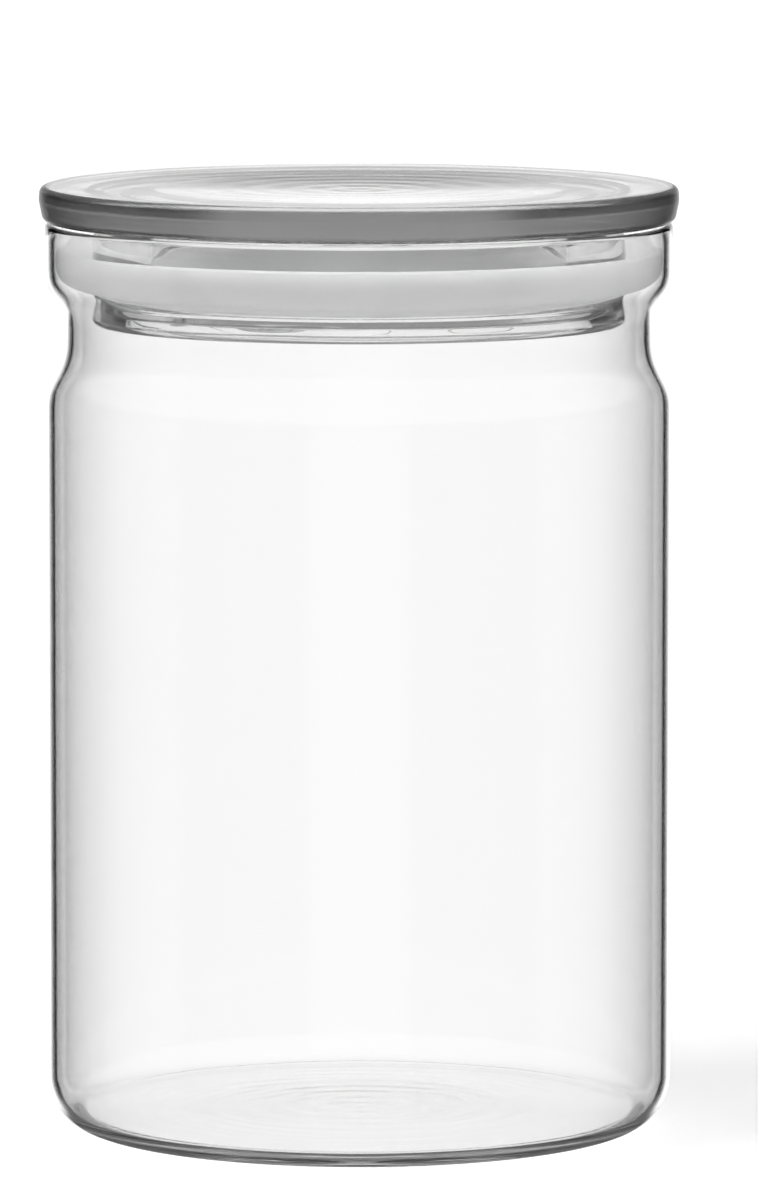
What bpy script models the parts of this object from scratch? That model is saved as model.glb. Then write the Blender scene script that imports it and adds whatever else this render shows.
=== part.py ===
"""Lidded glass canister: a waisted glass jar, a pressed glass lid and the soft seal ring on its plug.

Metres, +Z up. The origin is the centre of the foot, on the surface that the jar stands on.
Every piece is turned about the Z axis, so each is an outline of (radius, height) points that is spun.
"""

import math

import bmesh
import bpy

MM = 0.001

# Driving dimensions of the jar
BODY_RADIUS = 58.1 * MM
WALL = 1.65 * MM
JAR_HEIGHT = 168.2 * MM
WAIST_DEPTH = 3.6 * MM
WAIST_HEIGHT = 148.4 * MM
WAIST_REACH_UP = 6.5 * MM  # how far the waist spreads above and below its narrowest ring
WAIST_REACH_DOWN = 9.2 * MM
CORNER_ACROSS = 7.2 * MM  # the bottom corner is a quarter of an ellipse
CORNER_UP = 9.8 * MM
FLOOR_THICK = 2.8 * MM
FLOOR_BLEND = 3.0 * MM  # the wall thickens into the floor below this height
FOOT_INNER_RADIUS = 45.0 * MM
PUSH_UP = 0.4 * MM  # how far the middle of the bottom stands off the table
FLOOR_RISE = 0.3 * MM

# Driving dimensions of the lid
GAP = 0.3 * MM  # between pieces that touch on the real object
DISC_RADIUS = 59.2 * MM
DISC_TOP = 175.0 * MM
DISC_TOP_CORNER = 1.3 * MM
DISC_LOW_CORNER = 1.5 * MM
DISC_LEAN = 0.8 * MM  # how much narrower the disc is at its underside
TOP_FLAT_RADIUS = 54.0 * MM
TOP_DISH = 0.8 * MM
PLUG_RADIUS = 49.4 * MM
PLUG_DEPTH = 18.7 * MM
PLUG_CORNER = 2.0 * MM
GROOVE_DEPTH = 2.0 * MM
GROOVE_HIGH = 6.9 * MM  # this and the next lengths down are from the disc's underside
GROOVE_LOW = 14.0 * MM
MOUTH_RADIUS = 43.2 * MM  # the plug's hollow is wide at its mouth
HOLLOW_RADIUS = 38.6 * MM  # and steps in to this
STEP_HIGH = 14.8 * MM
STEP_LOW = 15.5 * MM
HOLLOW_RISE = 0.3 * MM  # how far the hollow reaches into the disc
HOLLOW_CORNER = 0.8 * MM

# Driving dimensions of the seal ring
LIP_HEIGHT = 2.6 * MM  # the upright band that touches the jar's mouth
LIP_THICK = 1.5 * MM
RING_TOP_BELOW_DISC = 5.1 * MM
RING_OUTER_RADIUS = 50.4 * MM
BEAD_HEIGHT = 1.1 * MM
BEAD_STEP = 0.5 * MM

TURN_STEPS = 60
ARC_STEPS = 5
BEND_STEPS = 13


def clear_scene():
    """Removes every object, so that the script can run in any file."""
    for thing in list(bpy.data.objects):
        bpy.data.objects.remove(thing, do_unlink=True)


def arc(centre, across, up, start, end, steps=ARC_STEPS):
    """Points of an elliptical arc from start to end, in degrees from +radius towards +height."""
    points = []
    for step in range(steps + 1):
        angle = math.radians(start + (end - start) * step / steps)
        points.append((centre[0] + across * math.cos(angle), centre[1] + up * math.sin(angle)))
    return points


def dish(rim_radius, rim_height, rise, steps=4):
    """Points from the rim to the axis of a shallow dome, or of a dish where rise is negative."""
    points = []
    for step in range(steps + 1):
        share = 1 - step / steps
        points.append((rim_radius * share, rim_height + rise * (1 - share * share)))
    return points


def waist(height):
    """How far the wall leans in at a height: a bell curve, sharper above the waist than below it."""
    if height > WAIST_HEIGHT:
        return WAIST_DEPTH * math.exp(-(((height - WAIST_HEIGHT) / WAIST_REACH_UP) ** 2.9))
    return WAIST_DEPTH * math.exp(-(((WAIST_HEIGHT - height) / WAIST_REACH_DOWN) ** 3.5))


def outer_side():
    """The jar's outside, from the foot over the bottom corner and the waist to the rim."""
    corner_centre = (BODY_RADIUS - CORNER_ACROSS, CORNER_UP)
    low = WAIST_HEIGHT - 1.5 * WAIST_REACH_DOWN
    high = WAIST_HEIGHT + 1.7 * WAIST_REACH_UP
    side = arc(corner_centre, CORNER_ACROSS, CORNER_UP, -90, 0)
    for step in range(BEND_STEPS + 1):
        height = low + (high - low) * step / BEND_STEPS
        side.append((BODY_RADIUS - waist(height), height))
    return side + [(BODY_RADIUS, JAR_HEIGHT - WALL / 2)]


def moved_in(points):
    """The inner twin of the jar's side: each point moved square to it by the glass's thickness."""
    made = []
    for index, (radius, height) in enumerate(points):
        before = points[max(index - 1, 0)]
        after = points[min(index + 1, len(points) - 1)]
        across, up = after[0] - before[0], after[1] - before[1]
        if index == 0:
            across, up = 1.0, 0.0  # the foot's own ring is level
        length = math.hypot(across, up)
        low = max(0.0, 1 - height / FLOOR_BLEND)
        depth = WALL + (FLOOR_THICK - WALL) * low**2
        made.append((radius - depth * up / length, height + depth * across / length))
    return made


def jar_outline():
    """From the middle of the foot, up the outside, over the rim and down to the middle of the floor."""
    rim_centre = (BODY_RADIUS - WALL / 2, JAR_HEIGHT - WALL / 2)
    outside = outer_side()
    outline = dish(FOOT_INNER_RADIUS, 0, PUSH_UP)[::-1]
    outline += outside
    outline += arc(rim_centre, WALL / 2, WALL / 2, 0, 180)
    outline += moved_in(outside)[-2::-1]
    outline += dish(FOOT_INNER_RADIUS, FLOOR_THICK, FLOOR_RISE)
    return outline


def lid_outline():
    """From the middle of the top, round the disc's edge, down the plug and up its hollow."""
    underside = JAR_HEIGHT + GAP
    plug_bottom = underside - PLUG_DEPTH
    top_centre = (DISC_RADIUS - DISC_TOP_CORNER, DISC_TOP - DISC_TOP_CORNER)
    low_centre = (DISC_RADIUS - DISC_LEAN - DISC_LOW_CORNER, underside + DISC_LOW_CORNER)
    groove_radius = PLUG_RADIUS - GROOVE_DEPTH
    groove_top = underside - GROOVE_HIGH
    groove_bottom = underside - GROOVE_LOW
    hollow_top = underside + HOLLOW_RISE
    hollow_centre = (HOLLOW_RADIUS - HOLLOW_CORNER, hollow_top - HOLLOW_CORNER)
    plug_corner_centre = (PLUG_RADIUS - PLUG_CORNER, plug_bottom + PLUG_CORNER)
    outline = dish(TOP_FLAT_RADIUS, DISC_TOP, -TOP_DISH)[::-1]
    outline += arc(top_centre, DISC_TOP_CORNER, DISC_TOP_CORNER, 90, 0)
    outline += arc(low_centre, DISC_LOW_CORNER, DISC_LOW_CORNER, 0, -90)
    outline += [(PLUG_RADIUS, underside), (PLUG_RADIUS, groove_top)]
    outline += [(groove_radius, groove_top), (groove_radius, groove_bottom)]
    outline += [(PLUG_RADIUS, groove_bottom)]
    outline += arc(plug_corner_centre, PLUG_CORNER, PLUG_CORNER, 0, -90)
    outline += [(MOUTH_RADIUS, plug_bottom), (MOUTH_RADIUS, underside - STEP_LOW)]
    outline += [(HOLLOW_RADIUS, underside - STEP_HIGH)]
    outline += arc(hollow_centre, HOLLOW_CORNER, HOLLOW_CORNER, 0, 90)
    outline += [(0, hollow_top)]
    return outline


def seal_outline():
    """Clockwise round the ring's section: up the inside, along the cupped top, down the lip and the bowl."""
    underside = JAR_HEIGHT + GAP
    inner_radius = PLUG_RADIUS - GROOVE_DEPTH + GAP
    lip_radius = BODY_RADIUS - WALL - GAP
    top = underside - RING_TOP_BELOW_DISC
    seat = underside - GROOVE_HIGH - GAP
    bottom = underside - GROOVE_LOW + GAP
    bowl_bottom = bottom + BEAD_HEIGHT
    bowl_top = top - LIP_HEIGHT
    bead_radius = RING_OUTER_RADIUS - BEAD_STEP
    lip_inner = lip_radius - LIP_THICK
    outline = [(inner_radius, bottom), (inner_radius, seat), (RING_OUTER_RADIUS, seat)]
    outline += arc((lip_inner + LIP_THICK / 2, top - LIP_THICK / 2), LIP_THICK / 2, LIP_THICK / 2, 135, 0, 4)
    outline += arc(
        (RING_OUTER_RADIUS, bowl_top), lip_radius - RING_OUTER_RADIUS, bowl_top - bowl_bottom, 0, -90
    )
    outline += [(bead_radius, bowl_bottom), (bead_radius, bottom)]
    return outline


def make_material(name, colour, roughness, transmission):
    """A clear or frosted material. The alpha of 1 keeps the glass a refracting one."""
    material = bpy.data.materials.new(name)
    material.use_nodes = True
    shader = material.node_tree.nodes["Principled BSDF"]
    shader.inputs["Base Color"].default_value = (*colour, 1.0)
    shader.inputs["Roughness"].default_value = roughness
    shader.inputs["Metallic"].default_value = 0.0
    shader.inputs["IOR"].default_value = 1.5
    shader.inputs["Transmission Weight"].default_value = transmission
    return material


def turned_piece(name, outline, closed, material, parent=None):
    """Spins an outline about Z into one closed body, with its origin on the axis."""
    shape = bmesh.new()
    points = [shape.verts.new((radius, 0, height)) for radius, height in outline]
    edges = [shape.edges.new(pair) for pair in zip(points, points[1:])]
    if closed:
        edges.append(shape.edges.new((points[-1], points[0])))
    bmesh.ops.spin(
        shape,
        geom=points + edges,
        cent=(0, 0, 0),
        axis=(0, 0, 1),
        angle=math.tau,
        steps=TURN_STEPS,
        use_merge=True,
    )
    bmesh.ops.remove_doubles(shape, verts=shape.verts, dist=1e-6)
    bmesh.ops.recalc_face_normals(shape, faces=shape.faces)
    mesh = bpy.data.meshes.new(name)
    shape.to_mesh(mesh)
    shape.free()
    mesh.shade_smooth()
    mesh.set_sharp_from_angle(angle=math.radians(40))
    mesh.materials.append(material)
    piece = bpy.data.objects.new(name, mesh)
    piece.parent = parent
    bpy.context.scene.collection.objects.link(piece)
    return piece


def make_axis(name, parent=None):
    """An empty on the lid's axis: what is parented to it slides or turns with it."""
    empty = bpy.data.objects.new(name, None)
    empty.parent = parent
    bpy.context.scene.collection.objects.link(empty)
    return empty


def main():
    clear_scene()
    jar_glass = make_material("jar_glass", (0.95, 0.95, 0.95), 0.02, 1.0)
    lid_glass = make_material("lid_glass", (0.90, 0.90, 0.90), 0.03, 1.0)
    silicone = make_material("seal_silicone", (0.72, 0.72, 0.72), 0.45, 0.3)
    lift_axis = make_axis("lid_lift_axis")
    turn_axis = make_axis("lid_turn_axis", lift_axis)
    turned_piece("jar", jar_outline(), False, jar_glass)
    turned_piece("seal_ring", seal_outline(), True, silicone, lift_axis)
    turned_piece("lid", lid_outline(), False, lid_glass, turn_axis)


main()
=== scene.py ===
# %% [markdown]
# # A lidded glass canister
# Three pieces make this canister: a blown glass jar with a waist under its mouth, a pressed glass
# lid with a hollow plug, and a soft silicone ring that seals the plug in the mouth. The packed
# working model is loaded first. It gives the true sizes, and every finished piece is built to them.

# %% Load the working model
import math

import bmesh
import bpy
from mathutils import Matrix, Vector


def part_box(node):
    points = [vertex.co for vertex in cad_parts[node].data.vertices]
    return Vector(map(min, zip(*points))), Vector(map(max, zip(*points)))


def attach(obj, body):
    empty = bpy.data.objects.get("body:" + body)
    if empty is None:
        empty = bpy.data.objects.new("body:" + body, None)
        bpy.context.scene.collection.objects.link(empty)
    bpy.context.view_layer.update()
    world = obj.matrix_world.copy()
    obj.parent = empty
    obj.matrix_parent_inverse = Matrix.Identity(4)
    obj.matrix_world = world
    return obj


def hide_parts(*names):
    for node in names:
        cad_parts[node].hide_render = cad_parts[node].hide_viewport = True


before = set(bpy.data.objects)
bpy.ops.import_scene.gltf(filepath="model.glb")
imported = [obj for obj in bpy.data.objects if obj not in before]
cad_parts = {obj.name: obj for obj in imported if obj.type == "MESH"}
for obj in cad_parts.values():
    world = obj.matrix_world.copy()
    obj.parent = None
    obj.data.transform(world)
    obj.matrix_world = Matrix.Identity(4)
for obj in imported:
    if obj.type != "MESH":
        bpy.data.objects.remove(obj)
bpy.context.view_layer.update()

jar_low, jar_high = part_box("jar")
lid_low, lid_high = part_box("lid")
ring_low, ring_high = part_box("seal_ring")
MM = 0.001

# %% [markdown]
# ## Outlines
# A turned shape is an outline that is spun. An outline is a list of (radius, height) points, and
# three helpers write it the way a mould maker would draw it: an arc, a smooth S, and straight runs
# whose corners are rounded. Glass has no sharp corners, and each small round catches a line of
# light, so every corner gets a radius. The last helper adds points to long runs, because the
# surface needs them for its slight waves.

# %% Outline helpers
DEGREES_PER_STEP = 5.0


def arc(centre, across, up, start, end):
    """Points of an elliptical arc, in degrees from +radius towards +height."""
    steps = max(3, round(abs(end - start) / DEGREES_PER_STEP))
    angles = [math.radians(start + (end - start) * step / steps) for step in range(steps + 1)]
    return [(centre[0] + across * math.cos(a), centre[1] + up * math.sin(a)) for a in angles]


def rounded(corners):
    """Straight runs between (radius, height, fillet) corners, each corner cut by its own fillet."""
    points = []
    for index, (x, y, fillet) in enumerate(corners):
        if fillet == 0 or index in (0, len(corners) - 1):
            points.append((x, y))
            continue
        before, after = corners[index - 1], corners[index + 1]
        into = math.atan2(y - before[1], x - before[0])
        out = math.atan2(after[1] - y, after[0] - x)
        turn = (out - into + math.pi) % math.tau - math.pi
        reach = fillet * math.tan(abs(turn) / 2)
        side = math.copysign(1, turn)
        start = (x - reach * math.cos(into), y - reach * math.sin(into))
        centre = (start[0] - side * fillet * math.sin(into), start[1] + side * fillet * math.cos(into))
        first = math.degrees(into) - side * 90
        points += arc(centre, fillet, fillet, first, first + math.degrees(turn))
    return points


def refined(points, longest):
    """The same outline with no repeated point and no run longer than longest."""
    made = [points[0]]
    for point in points[1:]:
        run = math.dist(made[-1], point)
        if run < 1e-7:
            continue
        start = made[-1]
        pieces = max(1, math.ceil(run / longest))
        for piece in range(1, pieces + 1):
            share = piece / pieces
            made.append((start[0] + (point[0] - start[0]) * share, start[1] + (point[1] - start[1]) * share))
    return made


def moved_in(points, thickness):
    """The outline's inner twin: each point moved square to the outline by thickness(point)."""
    made = []
    for index, (radius, height) in enumerate(points):
        before, after = points[max(index - 1, 0)], points[min(index + 1, len(points) - 1)]
        across, up = after[0] - before[0], after[1] - before[1]
        length = math.hypot(across, up)
        depth = thickness(radius, height)
        made.append((radius - depth * up / length, height + depth * across / length))
    return made


print("a round corner gets", len(arc((0, 0), 1, 1, 0, 90)), "points")

# %% [markdown]
# ## The turning tree
# One Geometry Nodes tree spins every outline. It starts from a flat grid: across the grid is the
# way round, and up the grid is the way along the outline. Each grid point looks up its outline
# point and is swung to its angle, and merging closes the seam and the poles. A Screw modifier
# could do the same, but here the tree can also lend each glass surface a slow, uneven wave of a
# few hundredths of a millimetre, as real blown and pressed glass has. The wave is what bends the
# reflections. The noise reads its place in space, so that it meets itself at the seam, and the
# share along the outline, so that the inner and the outer wall don't move alike.

# %% Build the turning tree


def add_socket(tree, name, kind, value=None, output=False):
    """A named input or output on a node tree."""
    way = "OUTPUT" if output else "INPUT"
    socket = tree.interface.new_socket(name=name, in_out=way, socket_type=kind)
    if value is not None:
        socket.default_value = value
    return socket


def math_node(tree, operation, first, second=None):
    """A Math node whose inputs are sockets or numbers. Returns its output socket."""
    node = tree.nodes.new("ShaderNodeMath")
    node.operation = operation
    for slot, value in zip(node.inputs, (first, second)):
        if isinstance(value, bpy.types.NodeSocket):
            tree.links.new(value, slot)
        elif value is not None:
            slot.default_value = value
    return node.outputs[0]


def soft_step(tree, value, low, high):
    """A smooth rise from 0 to 1 as a socket's value goes from low to high."""
    ramp = tree.nodes.new("ShaderNodeMapRange")
    ramp.interpolation_type = "SMOOTHSTEP"
    tree.links.new(value, ramp.inputs["Value"])
    ramp.inputs["From Min"].default_value = low
    ramp.inputs["From Max"].default_value = high
    return ramp.outputs["Result"]


def build_turning_tree():
    tree = bpy.data.node_groups.new("turn_outline", "GeometryNodeTree")
    add_socket(tree, "Outline", "NodeSocketGeometry")
    add_socket(tree, "Steps Round", "NodeSocketInt", 240)
    add_socket(tree, "Wave Height", "NodeSocketFloat", 0.0)
    add_socket(tree, "Waves per Metre", "NodeSocketFloat", 30.0)
    add_socket(tree, "Seed", "NodeSocketFloat", 0.0)
    add_socket(tree, "Material", "NodeSocketMaterial")
    add_socket(tree, "Turned", "NodeSocketGeometry", output=True)
    nodes, links = tree.nodes, tree.links
    given = nodes.new("NodeGroupInput")
    result = nodes.new("NodeGroupOutput")

    count = nodes.new("GeometryNodeAttributeDomainSize")
    links.new(given.outputs["Outline"], count.inputs[0])
    grid = nodes.new("GeometryNodeMeshGrid")
    links.new(math_node(tree, "ADD", given.outputs["Steps Round"], 1), grid.inputs["Vertices X"])
    links.new(count.outputs["Point Count"], grid.inputs["Vertices Y"])

    place = nodes.new("ShaderNodeSeparateXYZ")
    links.new(nodes.new("GeometryNodeInputPosition").outputs[0], place.inputs[0])
    round_share = math_node(tree, "ADD", place.outputs["X"], 0.5)
    along_share = math_node(tree, "ADD", place.outputs["Y"], 0.5)
    last = math_node(tree, "SUBTRACT", count.outputs["Point Count"], 1)
    index = math_node(tree, "ROUND", math_node(tree, "MULTIPLY", along_share, last))
    look_up = nodes.new("GeometryNodeSampleIndex")
    look_up.data_type = "FLOAT_VECTOR"
    links.new(given.outputs["Outline"], look_up.inputs["Geometry"])
    links.new(nodes.new("GeometryNodeInputPosition").outputs[0], look_up.inputs["Value"])
    links.new(index, look_up.inputs["Index"])
    outline_point = nodes.new("ShaderNodeSeparateXYZ")
    links.new(look_up.outputs[0], outline_point.inputs[0])

    angle = math_node(tree, "MULTIPLY", round_share, math.tau)
    cosine = math_node(tree, "COSINE", angle)
    sine = math_node(tree, "SINE", angle)
    radius = outline_point.outputs["X"]
    turned = nodes.new("ShaderNodeCombineXYZ")
    links.new(math_node(tree, "MULTIPLY", radius, cosine), turned.inputs["X"])
    links.new(math_node(tree, "MULTIPLY", radius, sine), turned.inputs["Y"])
    links.new(outline_point.outputs["Z"], turned.inputs["Z"])

    noise = nodes.new("ShaderNodeTexNoise")
    noise.noise_dimensions = "4D"
    noise.inputs["Detail"].default_value = 1.0
    links.new(turned.outputs[0], noise.inputs["Vector"])
    links.new(given.outputs["Waves per Metre"], noise.inputs["Scale"])
    drift = math_node(tree, "ADD", math_node(tree, "MULTIPLY", along_share, 9.0), given.outputs["Seed"])
    links.new(drift, noise.inputs["W"])
    centred = nodes.new("ShaderNodeVectorMath")
    centred.operation = "SUBTRACT"
    centred.inputs[1].default_value = (0.5, 0.5, 0.5)
    links.new(noise.outputs["Color"], centred.inputs[0])
    wave = nodes.new("ShaderNodeVectorMath")
    wave.operation = "SCALE"
    links.new(centred.outputs[0], wave.inputs[0])
    links.new(given.outputs["Wave Height"], wave.inputs["Scale"])

    move = nodes.new("GeometryNodeSetPosition")
    links.new(grid.outputs["Mesh"], move.inputs["Geometry"])
    links.new(turned.outputs[0], move.inputs["Position"])
    links.new(wave.outputs[0], move.inputs["Offset"])
    merge = nodes.new("GeometryNodeMergeByDistance")
    merge.inputs["Distance"].default_value = 1e-6
    links.new(move.outputs[0], merge.inputs["Geometry"])
    smooth = nodes.new("GeometryNodeSetShadeSmooth")
    links.new(merge.outputs[0], smooth.inputs["Geometry"])
    real = nodes.new("GeometryNodeRealizeInstances")
    links.new(smooth.outputs[0], real.inputs["Geometry"])
    paint = nodes.new("GeometryNodeSetMaterial")
    links.new(real.outputs[0], paint.inputs["Geometry"])
    links.new(given.outputs["Material"], paint.inputs["Material"])
    links.new(paint.outputs[0], result.inputs["Turned"])
    return tree


turning_tree = build_turning_tree()
print("turning tree:", len(turning_tree.nodes), "nodes")

# %% [markdown]
# ## From outline to piece
# The outline becomes a row of vertices joined by edges, the tree turns it, and the evaluated
# result is kept as a plain mesh. The signed volume tells whether the faces point out, and its size
# is printed as the piece's millilitres of material.

# %% Turn an outline


def turned_piece(name, outline, material, steps_round, wave_height=0.0, waves_per_metre=30.0, seed=0.0):
    """A plain, closed mesh object made by spinning the outline, with its place in its mesh."""
    wire = bpy.data.meshes.new(name + "_outline")
    edges = [(index, index + 1) for index in range(len(outline) - 1)]
    wire.from_pydata([(radius, 0.0, height) for radius, height in outline], edges, [])
    guide = bpy.data.objects.new(name + "_outline", wire)
    bpy.context.scene.collection.objects.link(guide)
    turning = guide.modifiers.new("turning", "NODES")
    turning.node_group = turning_tree
    wanted = {
        "Steps Round": steps_round,
        "Wave Height": wave_height,
        "Waves per Metre": waves_per_metre,
        "Seed": seed,
        "Material": material,
    }
    for item in turning_tree.interface.items_tree:
        if item.item_type == "SOCKET" and item.name in wanted:
            turning[item.identifier] = wanted[item.name]
    depsgraph = bpy.context.evaluated_depsgraph_get()
    mesh = bpy.data.meshes.new_from_object(guide.evaluated_get(depsgraph))
    bpy.data.objects.remove(guide)
    shape = bmesh.new()
    shape.from_mesh(mesh)
    volume = shape.calc_volume(signed=True)
    if volume < 0:
        bmesh.ops.reverse_faces(shape, faces=shape.faces)
        shape.to_mesh(mesh)
    open_edges = sum(not edge.is_manifold for edge in shape.edges)
    shape.free()
    mesh.name = name
    piece = bpy.data.objects.new(name, mesh)
    bpy.context.scene.collection.objects.link(piece)
    millilitres = round(abs(volume) * 1e6, 1)
    print(name, len(mesh.polygons), "faces,", open_edges, "open edges,", millilitres, "ml of material")
    return piece


# %% [markdown]
# ## Handling marks
# Nothing that is used in a kitchen has one flat finish: fingers and drying leave cloudy patches
# that are a little less glossy, and every surface is slightly uneven when it is looked at closely.
# Both the glass and the silicone need this, so it is one shader node group with named sockets.
# Each material sets its own sizes and amounts. The patches drive roughness and the unevenness
# drives a bump, because neither changes what a clear material's colour is.

# %% Build the handling marks group


def build_handled_look():
    tree = bpy.data.node_groups.new("handled_look", "ShaderNodeTree")
    add_socket(tree, "Position", "NodeSocketVector")
    add_socket(tree, "Patch Scale", "NodeSocketFloat", 25.0)
    add_socket(tree, "Clean Roughness", "NodeSocketFloat", 0.0)
    add_socket(tree, "Marked Roughness", "NodeSocketFloat", 0.02)
    add_socket(tree, "Grain Scale", "NodeSocketFloat", 120.0)
    add_socket(tree, "Roughness", "NodeSocketFloat", output=True)
    add_socket(tree, "Patches", "NodeSocketFloat", output=True)
    add_socket(tree, "Height", "NodeSocketFloat", output=True)
    given = tree.nodes.new("NodeGroupInput")
    result = tree.nodes.new("NodeGroupOutput")
    patches = tree.nodes.new("ShaderNodeTexNoise")
    patches.inputs["Detail"].default_value = 3.0
    tree.links.new(given.outputs["Position"], patches.inputs["Vector"])
    tree.links.new(given.outputs["Patch Scale"], patches.inputs["Scale"])
    share = soft_step(tree, patches.outputs["Fac"], 0.48, 0.72)
    more = math_node(tree, "SUBTRACT", given.outputs["Marked Roughness"], given.outputs["Clean Roughness"])
    rough = math_node(tree, "ADD", given.outputs["Clean Roughness"], math_node(tree, "MULTIPLY", share, more))
    grain = tree.nodes.new("ShaderNodeTexNoise")
    grain.inputs["Detail"].default_value = 1.0
    tree.links.new(given.outputs["Position"], grain.inputs["Vector"])
    tree.links.new(given.outputs["Grain Scale"], grain.inputs["Scale"])
    tree.links.new(rough, result.inputs["Roughness"])
    tree.links.new(share, result.inputs["Patches"])
    tree.links.new(grain.outputs["Fac"], result.inputs["Height"])
    return tree


def add_handled_look(tree, patch_scale, clean, marked, grain_scale):
    """Puts the group into a material, reading the piece's own space, and returns the group node."""
    node = tree.nodes.new("ShaderNodeGroup")
    node.node_tree = handled_look
    place = tree.nodes.new("ShaderNodeTexCoord")
    tree.links.new(place.outputs["Object"], node.inputs["Position"])
    node.inputs["Patch Scale"].default_value = patch_scale
    node.inputs["Clean Roughness"].default_value = clean
    node.inputs["Marked Roughness"].default_value = marked
    node.inputs["Grain Scale"].default_value = grain_scale
    return node


handled_look = build_handled_look()
print("handled_look:", len(handled_look.nodes), "nodes")

# %% [markdown]
# ## Glass
# Clear glass is a Principled shader with full transmission, white colour and an index of
# refraction of 1.5. Its look comes from its shape and from what it refracts. Two things are added.
# Volume absorption takes a little light for every millimetre that a ray travels in the glass, so
# the thin wall stays clear while the lid's edge, which is seen through the whole width of the
# disc, turns grey. A tint on the surface couldn't do that, because it would be the same everywhere.
# The second is only for the lid: the rim of its disc was fire-polished after pressing, which leaves
# a satin band with fine level streaks. A mask on the distance from the axis keeps it to the edge.

# %% Glass material
GLASS_IOR = 1.5
SMEAR_ROUGHNESS = 0.012
GRAIN_HEIGHT = 0.001 * MM


def make_glass(name, absorption):
    """Clear glass that absorbs light by depth. Absorption is per metre of glass.

    The volume node absorbs its density times one minus its colour, so half grey needs it doubled.
    """
    material = bpy.data.materials.new(name)
    material.use_nodes = True
    tree = material.node_tree
    shader = tree.nodes["Principled BSDF"]
    shader.inputs["Base Color"].default_value = (1.0, 1.0, 1.0, 1.0)
    shader.inputs["IOR"].default_value = GLASS_IOR
    shader.inputs["Transmission Weight"].default_value = 1.0
    depth = tree.nodes.new("ShaderNodeVolumeAbsorption")
    depth.inputs["Color"].default_value = (0.5, 0.5, 0.5, 1.0)
    depth.inputs["Density"].default_value = absorption * 2
    tree.links.new(depth.outputs[0], tree.nodes["Material Output"].inputs["Volume"])
    marks = add_handled_look(tree, 28.0, 0.0, SMEAR_ROUGHNESS, 90.0)
    tree.links.new(marks.outputs["Roughness"], shader.inputs["Roughness"])
    bump = tree.nodes.new("ShaderNodeBump")
    bump.inputs["Distance"].default_value = GRAIN_HEIGHT
    tree.links.new(marks.outputs["Height"], bump.inputs["Height"])
    tree.links.new(bump.outputs[0], shader.inputs["Normal"])
    return material, marks, bump


JAR_ABSORPTION = 5.0
TWO_WALLS = 3.3 * MM
jar_glass, jar_marks, jar_bump = make_glass("jar_glass", JAR_ABSORPTION)
print("through two walls:", round(100 * math.exp(-JAR_ABSORPTION * TWO_WALLS), 1), "% of the light")

# %% Satin edge of the lid
LID_ABSORPTION = 10.5
EDGE_ROUGHNESS = 0.3
EDGE_STREAK = 0.015 * MM
EDGE_STARTS = 57.3 * MM
EDGE_ENDS = 58.5 * MM
STREAK_SCALE = (12.0, 12.0, 1600.0)


def add_satin_edge(material, marks, grain_bump):
    """Rougher, streaked glass outside EDGE_STARTS, blended in over about a millimetre."""
    tree = material.node_tree
    shader = tree.nodes["Principled BSDF"]
    place = tree.nodes.new("ShaderNodeTexCoord")
    split = tree.nodes.new("ShaderNodeSeparateXYZ")
    tree.links.new(place.outputs["Object"], split.inputs[0])
    x2 = math_node(tree, "MULTIPLY", split.outputs["X"], split.outputs["X"])
    y2 = math_node(tree, "MULTIPLY", split.outputs["Y"], split.outputs["Y"])
    radius = math_node(tree, "SQRT", math_node(tree, "ADD", x2, y2))
    mask = soft_step(tree, radius, EDGE_STARTS, EDGE_ENDS)
    satin = math_node(tree, "MULTIPLY", mask, EDGE_ROUGHNESS)
    rough = math_node(tree, "ADD", marks.outputs["Roughness"], satin)
    tree.links.new(rough, shader.inputs["Roughness"])
    squash = tree.nodes.new("ShaderNodeMapping")
    squash.inputs["Scale"].default_value = STREAK_SCALE
    tree.links.new(place.outputs["Object"], squash.inputs[0])
    streaks = tree.nodes.new("ShaderNodeTexNoise")
    streaks.inputs["Scale"].default_value = 1.0
    streaks.inputs["Detail"].default_value = 1.0
    tree.links.new(squash.outputs[0], streaks.inputs["Vector"])
    bump = tree.nodes.new("ShaderNodeBump")
    bump.inputs["Distance"].default_value = EDGE_STREAK
    tree.links.new(math_node(tree, "MULTIPLY", streaks.outputs["Fac"], mask), bump.inputs["Height"])
    tree.links.new(grain_bump.outputs[0], bump.inputs["Normal"])
    tree.links.new(bump.outputs[0], shader.inputs["Normal"])


lid_glass, lid_marks, lid_bump = make_glass("lid_glass", LID_ABSORPTION)
add_satin_edge(lid_glass, lid_marks, lid_bump)
disc_width = lid_high.x - lid_low.x
print("through the disc's width:", round(100 * math.exp(-LID_ABSORPTION * disc_width)), "% of the light")

# %% [markdown]
# ## Silicone
# Frosted silicone is neither clear nor opaque: light goes in, wanders for a centimetre and comes
# out grey and soft. Subsurface scattering does exactly that. Mixing a transparent and a diffuse
# shader would show the far wall sharply through the ring, which real silicone never does. Its
# patches also shift the colour a little, as dust and finger grease do on a soft surface.

# %% Silicone material
SILICONE_LIGHT = (0.84, 0.84, 0.84, 1.0)
SILICONE_WORN = (0.78, 0.78, 0.78, 1.0)
SCATTER_REACH = 12.0 * MM
SILICONE_GRAIN = 0.02 * MM


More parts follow.
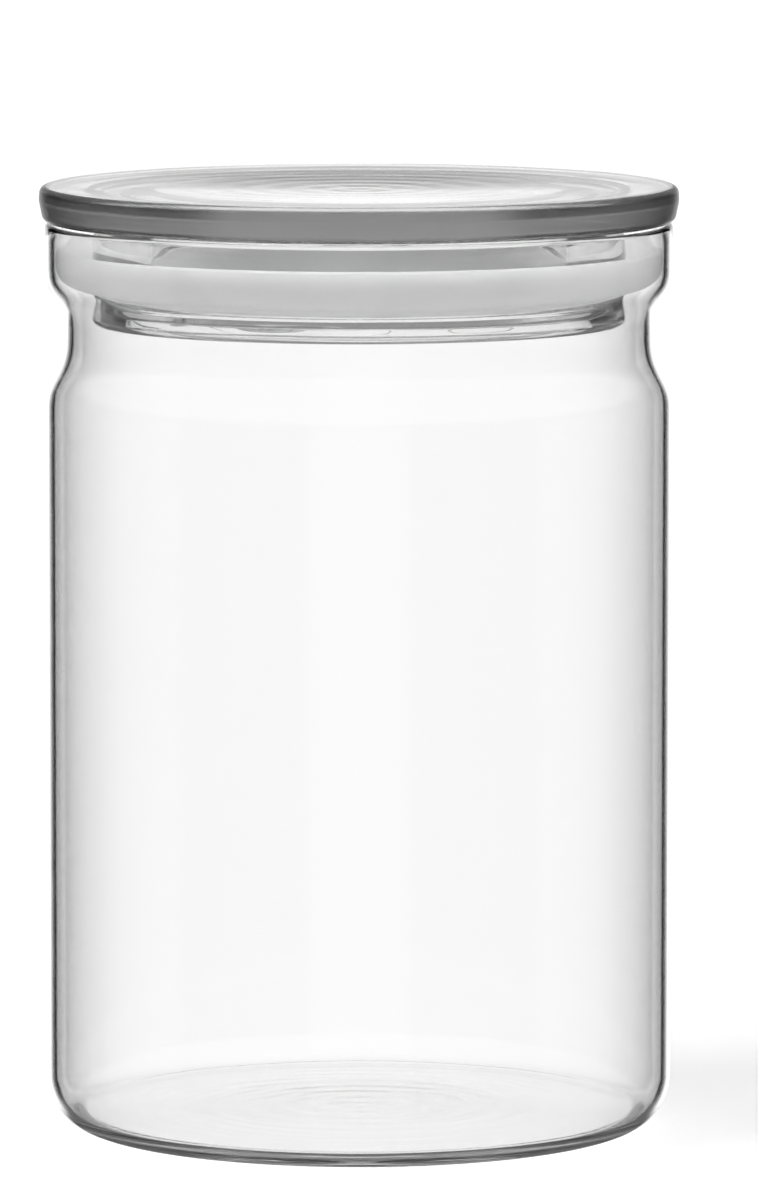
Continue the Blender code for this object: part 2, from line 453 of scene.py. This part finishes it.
def make_silicone():
    material = bpy.data.materials.new("frosted_silicone")
    material.use_nodes = True
    tree = material.node_tree
    shader = tree.nodes["Principled BSDF"]
    shader.inputs["IOR"].default_value = 1.41
    shader.inputs["Subsurface Weight"].default_value = 1.0
    shader.inputs["Subsurface Radius"].default_value = (1.0, 1.0, 1.0)
    shader.inputs["Subsurface Scale"].default_value = SCATTER_REACH
    marks = add_handled_look(tree, 60.0, 0.45, 0.6, 900.0)
    tree.links.new(marks.outputs["Roughness"], shader.inputs["Roughness"])
    colour = tree.nodes.new("ShaderNodeMix")
    colour.data_type = "RGBA"
    tree.links.new(marks.outputs["Patches"], colour.inputs["Factor"])
    colour.inputs["A"].default_value = SILICONE_LIGHT
    colour.inputs["B"].default_value = SILICONE_WORN
    tree.links.new(colour.outputs["Result"], shader.inputs["Base Color"])
    bump = tree.nodes.new("ShaderNodeBump")
    bump.inputs["Distance"].default_value = SILICONE_GRAIN
    tree.links.new(marks.outputs["Height"], bump.inputs["Height"])
    tree.links.new(bump.outputs[0], shader.inputs["Normal"])
    return material


silicone = make_silicone()
print("materials:", ", ".join(sorted(material.name for material in (jar_glass, lid_glass, silicone))))

# %% [markdown]
# ## The jar
# The jar is one thin skin of blown glass. Its outside is drawn first: a level foot, a bottom corner
# that is a quarter of an ellipse, a straight side, and a waist just under the mouth. The waist is
# a bell curve, which leaves the straight wall without a kink. The sizes leave room for the wave of
# the turning tree, so that the piece stays inside its box. The inside isn't drawn at all: each
# outside point is moved in, square to the surface, by the glass's thickness. That is how blown
# glass forms, and it matters. If the points were moved level instead, the wall would get thinner
# wherever it leans, and the dark refraction lines down the sides would break at the waist.

# %% Jar sizes
JAR_WAVE = 0.015 * MM
JAR_HEIGHT = jar_high.z
WALL = 1.65 * MM
BODY_RADIUS = jar_high.x - JAR_WAVE / 2
FOOT_LEVEL = JAR_WAVE / 2
RIM_LEVEL = JAR_HEIGHT - JAR_WAVE / 2 - WALL / 2
WAIST_DEPTH = 3.6 * MM
WAIST_HEIGHT = 148.4 * MM
WAIST_REACH_UP = 6.5 * MM
WAIST_REACH_DOWN = 9.2 * MM
CORNER_ACROSS = 7.2 * MM
CORNER_UP = 9.8 * MM
FLOOR_THICK = 2.8 * MM
FLOOR_BLEND = 3.0 * MM
FOOT_INNER_RADIUS = 45.0 * MM
PUSH_UP = 0.4 * MM
FLOOR_RISE = 0.3 * MM
FLOOR_RIPPLE = 0.012 * MM
print("the waist is", round((BODY_RADIUS - WAIST_DEPTH) * 2 / MM, 1), "mm across")

# %% The jar's outside
BEND_STEP = 0.5 * MM


def waist(height):
    """How far the wall leans in at a height: a bell curve, sharper above the waist than below it."""
    if height > WAIST_HEIGHT:
        share = (height - WAIST_HEIGHT) / WAIST_REACH_UP
        return WAIST_DEPTH * math.exp(-share**2.9)
    share = (WAIST_HEIGHT - height) / WAIST_REACH_DOWN
    return WAIST_DEPTH * math.exp(-share**3.5)


def outer_side():
    """The jar's outside from the foot to the rim, with close points where it bends."""
    corner_centre = (BODY_RADIUS - CORNER_ACROSS, CORNER_UP)
    bend_low = WAIST_HEIGHT - 1.7 * WAIST_REACH_DOWN
    bend_high = WAIST_HEIGHT + 1.8 * WAIST_REACH_UP
    steps = round((bend_high - bend_low) / BEND_STEP)
    bend = [bend_low + (bend_high - bend_low) * step / steps for step in range(steps + 1)]
    side = arc(corner_centre, CORNER_ACROSS, CORNER_UP - FOOT_LEVEL, -90, 0)
    return side + [(BODY_RADIUS - waist(height), height) for height in bend + [RIM_LEVEL]]


print("outside:", len(outer_side()), "points before refining")

# %% [markdown]
# The floor and the foot are shallow domes. The floor's dome carries faint rings, as the paddle that
# flattens a spinning jar leaves them, and they are real geometry so that they bend what is seen
# through them. The rim is a half circle, which is what a flame makes of a cut edge.

# %% The whole jar
LONGEST_RUN = 2.0 * MM


def glass_thickness(radius, height):
    """The wall's thickness, which grows into the floor's in the last few millimetres."""
    low = max(0.0, 1 - height / FLOOR_BLEND)
    return WALL + (FLOOR_THICK - WALL) * low**2


def dome(edge_radius, edge_height, rise, ripple=0.0, ripple_length=7 * MM, steps=50):
    """From the edge to the middle of a shallow dome, flat at its edge, with faint rings round it."""
    points = []
    for step in range(steps + 1):
        radius = edge_radius * (1 - step / steps)
        inside = (1 - (radius / edge_radius) ** 2) ** 2
        ring = ripple * inside * math.sin(math.tau * (edge_radius - radius) / ripple_length)
        points.append((radius, edge_height + rise * inside + ring))
    return points


def jar_outline():
    rim_centre = (BODY_RADIUS - WALL / 2, RIM_LEVEL)
    outside = refined(outer_side(), LONGEST_RUN)
    inside = moved_in(outside, glass_thickness)[:-1]
    outline = dome(FOOT_INNER_RADIUS, FOOT_LEVEL, PUSH_UP)[::-1]
    outline += outside
    outline += arc(rim_centre, WALL / 2, WALL / 2, 0, 180)
    outline += inside[::-1]
    outline += dome(FOOT_INNER_RADIUS, FLOOR_THICK, FLOOR_RISE, FLOOR_RIPPLE)
    return refined(outline, LONGEST_RUN)


jar = turned_piece("jar_body", jar_outline(), jar_glass, 232, JAR_WAVE, 30.0, 1.0)

# %% [markdown]
# ## The lid
# The lid was pressed in a mould: a thick disc that rests on the rim, with a hollow plug under it.
# A groove round the plug holds the seal. Pressed glass follows its mould, so this outline is drawn
# as straight runs with small fillets, where the jar's was drawn as curves. The top is dished by
# less than a millimetre and carries rings and a slow wave. At a low view the top is mostly a
# mirror, and a slope of a single degree is enough to make the swirls that real lids show.

# %% Lid sizes
GAP = 0.3 * MM
DISC_RADIUS = lid_high.x
DISC_TOP = lid_high.z
UNDERSIDE = JAR_HEIGHT + GAP
PLUG_BOTTOM = lid_low.z
TOP_FLAT_RADIUS = 54.0 * MM
TOP_DISH = 0.8 * MM
TOP_RIPPLE = 0.02 * MM
PLUG_RADIUS = 49.4 * MM
PLUG_CORNER = 2.0 * MM
GROOVE_DEPTH = 2.0 * MM
GROOVE_TOP = UNDERSIDE - 6.9 * MM
GROOVE_BOTTOM = UNDERSIDE - 14.0 * MM
print("the disc's edge is", round((DISC_TOP - UNDERSIDE) / MM, 1), "mm thick")

# %% [markdown]
# The hollow has straight walls and one small step near its mouth. Straight walls let the eye look
# right through the plug to the back of the seal. A sloping wall would throw every ray up into the
# disc and turn the whole neck black.

# %% The whole lid
HOLLOW_RADIUS = 38.6 * MM
MOUTH_RADIUS = 43.2 * MM
STEP_LOW = UNDERSIDE - 15.5 * MM
STEP_HIGH = UNDERSIDE - 14.8 * MM
HOLLOW_TOP = UNDERSIDE + 0.3 * MM
LID_WAVE = 0.03 * MM


def lid_outline():
    groove_radius = PLUG_RADIUS - GROOVE_DEPTH
    outline = dome(TOP_FLAT_RADIUS, DISC_TOP - LID_WAVE, -TOP_DISH, TOP_RIPPLE)[::-1]
    outline += rounded([
        (TOP_FLAT_RADIUS, DISC_TOP - LID_WAVE, 0),
        (DISC_RADIUS - 0.2 * MM, DISC_TOP - LID_WAVE, 1.3 * MM),
        (DISC_RADIUS - LID_WAVE, DISC_TOP - 2.6 * MM, 3.0 * MM),
        (DISC_RADIUS - 0.8 * MM, UNDERSIDE, 1.5 * MM),
        (PLUG_RADIUS, UNDERSIDE, 0.8 * MM),
        (PLUG_RADIUS, GROOVE_TOP, 0.4 * MM),
        (groove_radius, GROOVE_TOP, 0.4 * MM),
        (groove_radius, GROOVE_BOTTOM, 0.4 * MM),
        (PLUG_RADIUS, GROOVE_BOTTOM, 0.5 * MM),
        (PLUG_RADIUS, PLUG_BOTTOM + LID_WAVE, PLUG_CORNER),
        (MOUTH_RADIUS, PLUG_BOTTOM + LID_WAVE, 1.2 * MM),
        (MOUTH_RADIUS, STEP_LOW, 0.4 * MM),
        (HOLLOW_RADIUS, STEP_HIGH, 0.4 * MM),
        (HOLLOW_RADIUS, HOLLOW_TOP, 0.8 * MM),
        (0.0, HOLLOW_TOP, 0),
    ])
    return refined(outline, LONGEST_RUN)


lid = turned_piece("lid_disc_and_plug", lid_outline(), lid_glass, 288, LID_WAVE, 40.0, 3.0)

# %% [markdown]
# ## The seal ring
# The ring is one moulded loop of silicone in the plug's groove. Its section is a cup: an upright
# lip that presses on the jar's mouth, a round bowl under it, and a small bead at the bottom that
# helps it past the rim. The bowl is a quarter ellipse, and it is the smooth grey belly that shows
# through the neck. The ring is its own piece because on the real canister it is pulled off to be
# washed, and it stays on the plug when the lid is lifted.

# %% Ring sizes
RING_INNER = PLUG_RADIUS - GROOVE_DEPTH + GAP
RING_OUTER = 50.4 * MM
RING_SEAT = GROOVE_TOP - GAP
RING_TOP = ring_high.z
RING_BOTTOM = ring_low.z
LIP_RADIUS = ring_high.x
LIP_HEIGHT = 2.6 * MM
LIP_THICK = 1.6 * MM
BEAD_HEIGHT = 1.1 * MM
BEAD_STEP = 0.5 * MM
print("the lip stands", round((LIP_RADIUS - RING_OUTER) / MM, 1), "mm out from the groove")

# %% The whole ring


def seal_outline():
    bowl_top = RING_TOP - LIP_HEIGHT
    bowl_bottom = RING_BOTTOM + BEAD_HEIGHT
    middle = (RING_SEAT + RING_BOTTOM) / 2
    outline = rounded([
        (RING_INNER, middle, 0),
        (RING_INNER, RING_SEAT, 0.3 * MM),
        (RING_OUTER - 0.4 * MM, RING_SEAT, 0.5 * MM),
        (RING_OUTER + 1.0 * MM, RING_SEAT - 2.2 * MM, 1.2 * MM),
        (LIP_RADIUS - LIP_THICK, RING_TOP - 0.6 * MM, 0.5 * MM),
        (LIP_RADIUS - LIP_THICK * 0.8, RING_TOP, 0.4 * MM),
        (LIP_RADIUS, RING_TOP, 0.5 * MM),
        (LIP_RADIUS, bowl_top, 0),
    ])
    outline += arc((RING_OUTER, bowl_top), LIP_RADIUS - RING_OUTER, bowl_top - bowl_bottom, 0, -90)
    outline += rounded([
        (RING_OUTER, bowl_bottom, 0),
        (RING_OUTER - BEAD_STEP, bowl_bottom, 0.15 * MM),
        (RING_OUTER - BEAD_STEP, RING_BOTTOM, 0.5 * MM),
        (RING_INNER, RING_BOTTOM, 0.3 * MM),
        (RING_INNER, middle, 0),
    ])
    return refined(outline, 1.0 * MM)


ring = turned_piece("seal_ring_silicone", seal_outline(), silicone, 256)

# %% [markdown]
# ## The studio's light
# Glass shows its surroundings, so the light is most of the picture. Clear glass on plain white
# would be invisible. Studios use "bright field" light: a white backdrop straight behind, and dark
# surroundings at the sides. The straight view through the glass stays white, and each edge bends
# the view round to the dark, which draws the outline.
#
# The world does this with the Light Path node, which tells what a ray has been through:
# - a ray that came straight or was only refracted sees plain white;
# - a ray that was reflected sees a dim room with four tall windows, one of them the backdrop;
# - a ray that was reflected many times sees a middle grey, as the light in real glass scatters;
# - a ray from a dull surface sees soft light that is stronger behind, which lights the silicone.

# %% Light levels
WHITE = 1.14
WINDOWS = 4
WINDOW_HALF = 19.0
WINDOW_TOP = 0.30
SIDE_WINDOW = 0.15
UP_FADE = 0.9
UP_FADE_INSIDE = 0.15
FLOOR_GLOW = 0.12
CEILING_GLOW = 0.40
DIM = 0.01
DEEP_GLOW = 0.45
SOFT_FRONT = 0.05
SOFT_BEHIND = 6.5
OPEN_LIGHT = 0.45
REFLECTIONS_TO_TRAP = 4
print("windows take", round(100 * WINDOWS * 2 * WINDOW_HALF / 360), "% of the way round")

# %% The room that reflections see


def dim_room(tree, direction, up_fade):
    """The brightness of the dim room in a direction: windows, a dim floor and a ceiling.

    X, Y and Z of a direction run from -1 to 1, so the soft steps' limits are sines and cosines.
    The cosine of four times the angle peaks four times on the way round, once for each window.
    """
    angle = math_node(tree, "ARCTAN2", direction.outputs["X"], direction.outputs["Y"])
    swing = math_node(tree, "COSINE", math_node(tree, "MULTIPLY", angle, WINDOWS))
    edge = math.cos(math.radians(WINDOWS * WINDOW_HALF))
    window = soft_step(tree, swing, edge - 0.15, edge + 0.15)
    behind = soft_step(tree, math_node(tree, "COSINE", angle), 0.6, 0.7)
    strength = math_node(tree, "ADD", SIDE_WINDOW, math_node(tree, "MULTIPLY", behind, WHITE - SIDE_WINDOW))
    up = direction.outputs["Z"]
    height = math_node(tree, "ABSOLUTE", up)
    level = math_node(tree, "SUBTRACT", 1.0, soft_step(tree, height, WINDOW_TOP - 0.05, WINDOW_TOP + 0.05))
    fade = math_node(tree, "MULTIPLY", soft_step(tree, up, 0.0, 0.2), up_fade)
    level = math_node(tree, "MULTIPLY", level, math_node(tree, "SUBTRACT", 1.0, fade))
    shine = math_node(tree, "MULTIPLY", math_node(tree, "MULTIPLY", window, strength), level)
    under = soft_step(tree, math_node(tree, "MULTIPLY", up, -1.0), 0.18, 0.32)
    over = soft_step(tree, up, 0.18, 0.35)
    rest = math_node(tree, "ADD", math_node(tree, "MULTIPLY", under, FLOOR_GLOW), DIM)
    rest = math_node(tree, "ADD", rest, math_node(tree, "MULTIPLY", over, CEILING_GLOW))
    return math_node(tree, "ADD", shine, rest)


# %% [markdown]
# The world's tree then chooses between the four views. Each choice is a mix whose factor is a
# plain yes or no from the Light Path node.

# %% The world


def choose(tree, condition, otherwise, then):
    """A mix of two values or sockets by a yes or no."""
    node = tree.nodes.new("ShaderNodeMix")
    node.data_type = "FLOAT"
    tree.links.new(condition, node.inputs["Factor"])
    for slot, value in (("A", otherwise), ("B", then)):
        if isinstance(value, bpy.types.NodeSocket):
            tree.links.new(value, node.inputs[slot])
        else:
            node.inputs[slot].default_value = value
    return node.outputs["Result"]


def build_world():
    world = bpy.data.worlds.new("studio")
    world.use_nodes = True
    bpy.context.scene.world = world
    tree = world.node_tree
    path = tree.nodes.new("ShaderNodeLightPath")
    look = tree.nodes.new("ShaderNodeTexCoord")
    direction = tree.nodes.new("ShaderNodeSeparateXYZ")
    tree.links.new(look.outputs["Generated"], direction.inputs[0])
    reflected = math_node(tree, "GREATER_THAN", path.outputs["Glossy Depth"], 0.5)
    trapped = math_node(tree, "GREATER_THAN", path.outputs["Glossy Depth"], REFLECTIONS_TO_TRAP - 0.5)
    scattered = math_node(tree, "GREATER_THAN", path.outputs["Diffuse Depth"], 0.5)
    through_glass = math_node(tree, "GREATER_THAN", path.outputs["Transmission Depth"], 0.5)
    deep = math_node(tree, "MULTIPLY", trapped, DEEP_GLOW)
    up_fade = choose(tree, through_glass, UP_FADE, UP_FADE_INSIDE)
    room = math_node(tree, "MAXIMUM", dim_room(tree, direction, up_fade), deep)
    from_behind = soft_step(tree, direction.outputs["Y"], -0.3, 0.7)
    more = math_node(tree, "MULTIPLY", from_behind, SOFT_BEHIND - SOFT_FRONT)
    soft = math_node(tree, "ADD", SOFT_FRONT, more)
    clear_view = choose(tree, reflected, WHITE, room)
    dull_view = choose(tree, through_glass, OPEN_LIGHT, soft)
    background = tree.nodes["Background"]
    background.inputs["Color"].default_value = (1, 1, 1, 1)
    tree.links.new(choose(tree, scattered, clear_view, dull_view), background.inputs["Strength"])
    return world


studio = build_world()
print("world:", len(studio.node_tree.nodes), "nodes")

# %% [markdown]
# ## Floor and key light
# The canister stands on a large white sweep. It is matte and gives off a little light of its own,
# which lifts it to white without more lamps, so that only a soft contact shadow is left. Reflected
# rays don't see it: they need the dim room, or the dark line at the jar's foot would be lost. Seen
# through glass it is mostly an even glow, as the light that is strong for the silicone would make
# it too bright there. One broad sun from the left makes the shadow fall softly to the right. It is
# hidden from reflected and refracted rays, or each bend in the glass would show it as a white patch.

# %% Floor
FLOOR_RADIUS = 9.0
FLOOR_DROP = 0.2 * MM
FLOOR_LIFT = 0.48
THROUGH_GLASS = 0.95
THROUGH_SHARE = 0.9


def build_floor():
    bpy.ops.mesh.primitive_circle_add(
        vertices=96, radius=FLOOR_RADIUS, fill_type="NGON", location=(0, 0, -FLOOR_DROP)
    )
    floor = bpy.context.object
    floor.name = "studio_floor"
    material = bpy.data.materials.new("pale_floor")
    material.use_nodes = True
    tree = material.node_tree
    shader = tree.nodes["Principled BSDF"]
    shader.inputs["Base Color"].default_value = (0.8, 0.8, 0.8, 1.0)
    shader.inputs["Roughness"].default_value = 0.9
    shader.inputs["Specular IOR Level"].default_value = 0.0
    shader.inputs["Emission Color"].default_value = (1, 1, 1, 1)
    shader.inputs["Emission Strength"].default_value = FLOOR_LIFT
    path = tree.nodes.new("ShaderNodeLightPath")
    clear = tree.nodes.new("ShaderNodeBsdfTransparent")
    glow = tree.nodes.new("ShaderNodeEmission")
    glow.inputs["Strength"].default_value = THROUGH_GLASS
    behind_glass = math_node(tree, "GREATER_THAN", path.outputs["Transmission Depth"], 0.5)
    lit = tree.nodes.new("ShaderNodeMixShader")
    tree.links.new(math_node(tree, "MULTIPLY", behind_glass, THROUGH_SHARE), lit.inputs[0])
    tree.links.new(shader.outputs[0], lit.inputs[1])
    tree.links.new(glow.outputs[0], lit.inputs[2])
    mix = tree.nodes.new("ShaderNodeMixShader")
    tree.links.new(math_node(tree, "GREATER_THAN", path.outputs["Glossy Depth"], 0.5), mix.inputs[0])
    tree.links.new(lit.outputs[0], mix.inputs[1])
    tree.links.new(clear.outputs[0], mix.inputs[2])
    tree.links.new(mix.outputs[0], tree.nodes["Material Output"].inputs["Surface"])
    floor.data.materials.append(material)
    floor.visible_glossy = False
    return floor


floor = build_floor()
print("floor:", FLOOR_RADIUS, "m in radius,", round(FLOOR_DROP / MM, 1), "mm under the foot")

# %% Key light
SUN_POWER = 1.3
sun_data = bpy.data.lights.new("soft_key", "SUN")
sun_data.energy = SUN_POWER
sun_data.angle = math.radians(35)
sun = bpy.data.objects.new("soft_key", sun_data)
bpy.context.scene.collection.objects.link(sun)
sun.rotation_euler = (math.radians(48), 0, math.radians(-68))
sun.visible_glossy = False
sun.visible_transmission = False
print("the key light is", round(math.degrees(sun_data.angle)), "degrees wide")

# %% [markdown]
# ## Camera
# The camera stands about 1.8 m away, a third of a metre above the table, and looks down by seven
# degrees through a long lens. From this far the sides of the jar look parallel, and the lid's top
# is a thin ellipse. A small shift moves the picture without tilting the camera.

# %% Camera
CAMERA_DISTANCE = 1.7643
CAMERA_HEIGHT = 0.3018
CAMERA_DOWN = 6.84
LENS = 286.83
SHIFT_ACROSS = 0.01667
SHIFT_UP = 0.034
camera_data = bpy.data.cameras.new("camera")
camera_data.sensor_width = 36.0
camera_data.lens = LENS
camera_data.shift_x = SHIFT_ACROSS
camera_data.shift_y = SHIFT_UP
camera_data.clip_end = 50
camera = bpy.data.objects.new("camera", camera_data)
camera.location = (0, -CAMERA_DISTANCE, CAMERA_HEIGHT)
camera.rotation_euler = (math.radians(90 - CAMERA_DOWN), 0, 0)
bpy.context.scene.collection.objects.link(camera)
bpy.context.scene.camera = camera
print("angle of view:", round(math.degrees(camera_data.angle), 1), "degrees")

# %% [markdown]
# ## Bounces and colour
# A ray that looks through the closed canister crosses up to a dozen glass surfaces, and one that is
# caught in the wall is reflected dozens of times. Too few bounces leave black patches in glass, so
# the limits are high. The Standard view transform keeps white as white, which Filmic and AgX don't.

# %% Bounces and colour
MOST_BOUNCES = 64
scene = bpy.context.scene
scene.view_settings.view_transform = "Standard"
scene.cycles.max_bounces = MOST_BOUNCES
scene.cycles.transmission_bounces = MOST_BOUNCES
scene.cycles.glossy_bounces = MOST_BOUNCES
scene.cycles.caustics_refractive = True
scene.cycles.caustics_reflective = False
print("bounces:", scene.cycles.max_bounces)

# %% [markdown]
# ## Put every piece on its body
# Each fine piece rides on the working model's body and takes the place of its plain node, so that
# the joints move the finished canister: the ring and the lid lift together, and the lid turns.

# %% Put every piece on its body
for piece, body, node, slot in (
    (jar, "jar", "jar", "jar_glass"),
    (ring, "seal", "seal_ring", "seal_silicone"),
    (lid, "lid", "lid", "lid_glass"),
):
    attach(piece, body)
    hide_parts(node)
    print(piece.name, "rides on", body)
